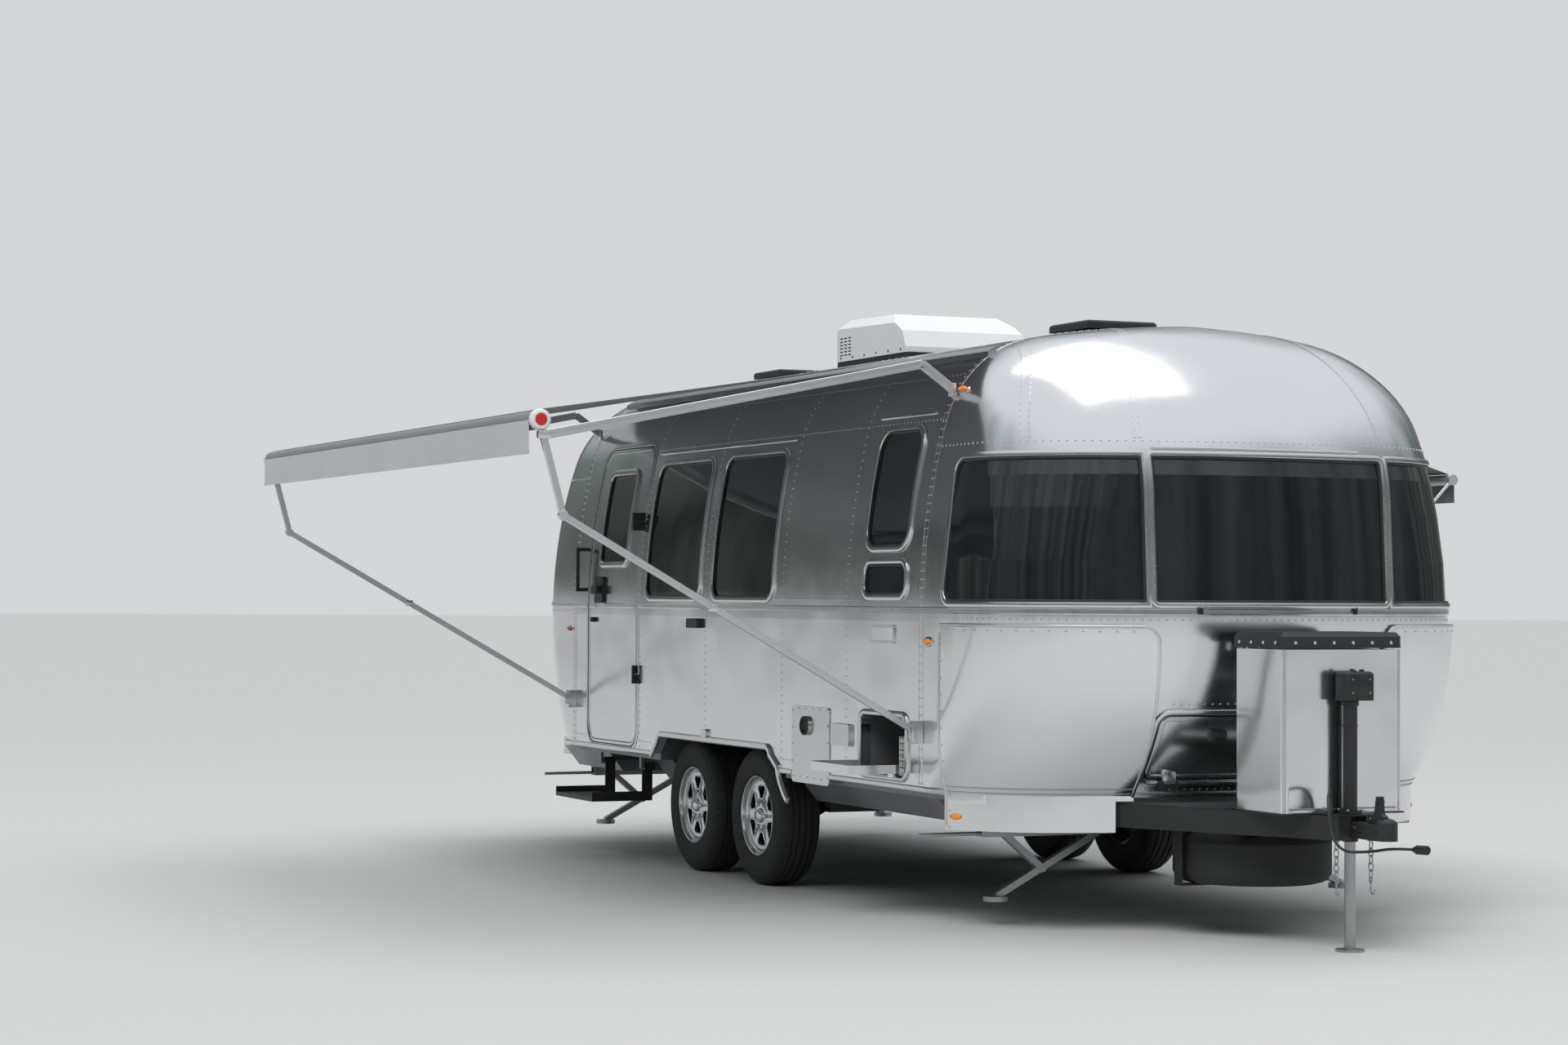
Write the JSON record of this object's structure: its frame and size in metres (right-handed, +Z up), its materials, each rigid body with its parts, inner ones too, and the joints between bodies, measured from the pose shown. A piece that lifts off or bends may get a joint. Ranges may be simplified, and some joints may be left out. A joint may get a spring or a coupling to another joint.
{
  "type": "travel caravan",
  "caption": "Riveted aluminium travel caravan with rounded ends on two axles, with side awning out, stone guards, coupler, jack and gas cover.",
  "frame": {"origin": "centre of the coupler's ball socket, 500 mm above the ground", "axes": "+X forward, the way it is towed; +Y to its left or street side; +Z up"},
  "size_m": [7.4541, 4.787, 2.95],
  "materials": {
    "skin": "polished",
    "trim_alloy": "satin",
    "awning_alloy": "satin",
    "wheel_alloy": "satin",
    "brushed_guard": "brushed",
    "zinc_steel": "galvanised",
    "underfloor_sheet": "matt",
    "black_steel": "satin",
    "bottle_paint": "gloss",
    "tinted_glass": "tinted",
    "black_plastic": "matt",
    "white_plastic": "satin",
    "amber_lens": "clear",
    "red_lens": "clear",
    "awning_cloth": "woven",
    "cable_rubber": "matt",
    "tyre_rubber": "matt"
  },
  "bodies": {
    "chassis": {"wall_curb": "skin", "wall_street": "skin", "roof": "skin", "cap_front_lower": "skin", "cap_front_upper": "skin", "cap_rear_lower": "skin", "cap_rear_upper": "skin", "underfloor": "underfloor_sheet", "window_glass": "tinted_glass", "window_frames": "trim_alloy", "body_rails": "trim_alloy", "stone_guards": "brushed_guard", "locker_tub": "white_plastic", "power_unit": "white_plastic", "furnace_vent": "trim_alloy", "wall_fittings": "black_plastic", "amber_lamps": "amber_lens", "red_lamps": "red_lens", "roof_unit": "white_plastic", "roof_bases": "black_plastic", "awning_rail": "trim_alloy", "awning_arms": "awning_alloy", "awning_roller": "awning_alloy", "awning_canopy": "awning_cloth", "window_awning_frame": "awning_alloy", "window_awning_canopy": "awning_cloth", "a_frame": "black_steel", "coupler": "black_steel", "jack_body": "black_steel", "safety_chains": "zinc_steel", "tow_cable": "cable_rubber", "tow_plug": "black_plastic", "gas_cover": "brushed_guard", "gas_bottles": "bottle_paint", "spare_wheel": "tyre_rubber", "axles": "black_steel", "stabilisers": "zinc_steel", "rear_bumper": "trim_alloy"},
    "entry_door": {"door": "skin", "door_glass": "tinted_glass", "door_fittings": "black_plastic"},
    "front_hatch_leaf": {"front_hatch": "skin"},
    "locker_leaf": {"curb_hatch": "skin"},
    "gas_lid_body": {"gas_lid": "black_plastic"},
    "vent_front": {"vent_lid_front": "black_plastic"},
    "vent_rear": {"vent_lid_rear": "black_plastic"},
    "jack_leg_body": {"jack_leg": "zinc_steel"},
    "step": {"entry_step": "black_steel"},
    "wheel_curb_front": {"tyre_curb_front": "tyre_rubber", "rim_curb_front": "wheel_alloy"},
    "wheel_curb_rear": {"tyre_curb_rear": "tyre_rubber", "rim_curb_rear": "wheel_alloy"},
    "wheel_street_front": {"tyre_street_front": "tyre_rubber", "rim_street_front": "wheel_alloy"},
    "wheel_street_rear": {"tyre_street_rear": "tyre_rubber", "rim_street_rear": "wheel_alloy"}
  },
  "joints": [
    {"name": "door_hinge", "type": "hinge", "parent": "chassis", "child": "entry_door", "pos_m": [-5.377, -1.242, 0.8], "axis": [0, 0, 1], "range_deg": [0, 160]},
    {"name": "front_hatch_hinge", "type": "hinge", "parent": "chassis", "child": "front_hatch_leaf", "pos_m": [-1.045, 0, 0.16], "axis": [0, 1, 0], "range_deg": [0, 40]},
    {"name": "locker_hinge", "type": "hinge", "parent": "chassis", "child": "locker_leaf", "pos_m": [-2.21, -1.236, 0.15], "axis": [1, 0, 0], "range_deg": [-90, 0]},
    {"name": "gas_lid_hinge", "type": "hinge", "parent": "chassis", "child": "gas_lid_body", "pos_m": [-0.722, 0, 0.764], "axis": [0, -1, 0], "range_deg": [0, 65]},
    {"name": "vent_front_hinge", "type": "hinge", "parent": "chassis", "child": "vent_front", "pos_m": [-2.552, 0, 2.224], "axis": [0, -1, 0], "range_deg": [0, 60]},
    {"name": "vent_rear_hinge", "type": "hinge", "parent": "chassis", "child": "vent_rear", "pos_m": [-6.192, 0, 2.224], "axis": [0, -1, 0], "range_deg": [0, 60]},
    {"name": "jack_slide", "type": "slide", "parent": "chassis", "child": "jack_leg_body", "axis": [0, 0, 1], "range_m": [-0.1, 0.35]},
    {"name": "step_slide", "type": "slide", "parent": "chassis", "child": "step", "axis": [0, 1, 0], "range_m": [0, 0.25]},
    {"name": "wheel_curb_front_spin", "type": "hinge", "parent": "chassis", "child": "wheel_curb_front", "pos_m": [-3.85, -1.0475, -0.15], "axis": [0, 1, 0], "continuous": true},
    {"name": "wheel_curb_rear_spin", "type": "hinge", "parent": "chassis", "child": "wheel_curb_rear", "pos_m": [-4.71, -1.0475, -0.15], "axis": [0, 1, 0], "continuous": true},
    {"name": "wheel_street_front_spin", "type": "hinge", "parent": "chassis", "child": "wheel_street_front", "pos_m": [-3.85, 1.0475, -0.15], "axis": [0, 1, 0], "continuous": true},
    {"name": "wheel_street_rear_spin", "type": "hinge", "parent": "chassis", "child": "wheel_street_rear", "pos_m": [-4.71, 1.0475, -0.15], "axis": [0, 1, 0], "continuous": true}
  ]
}
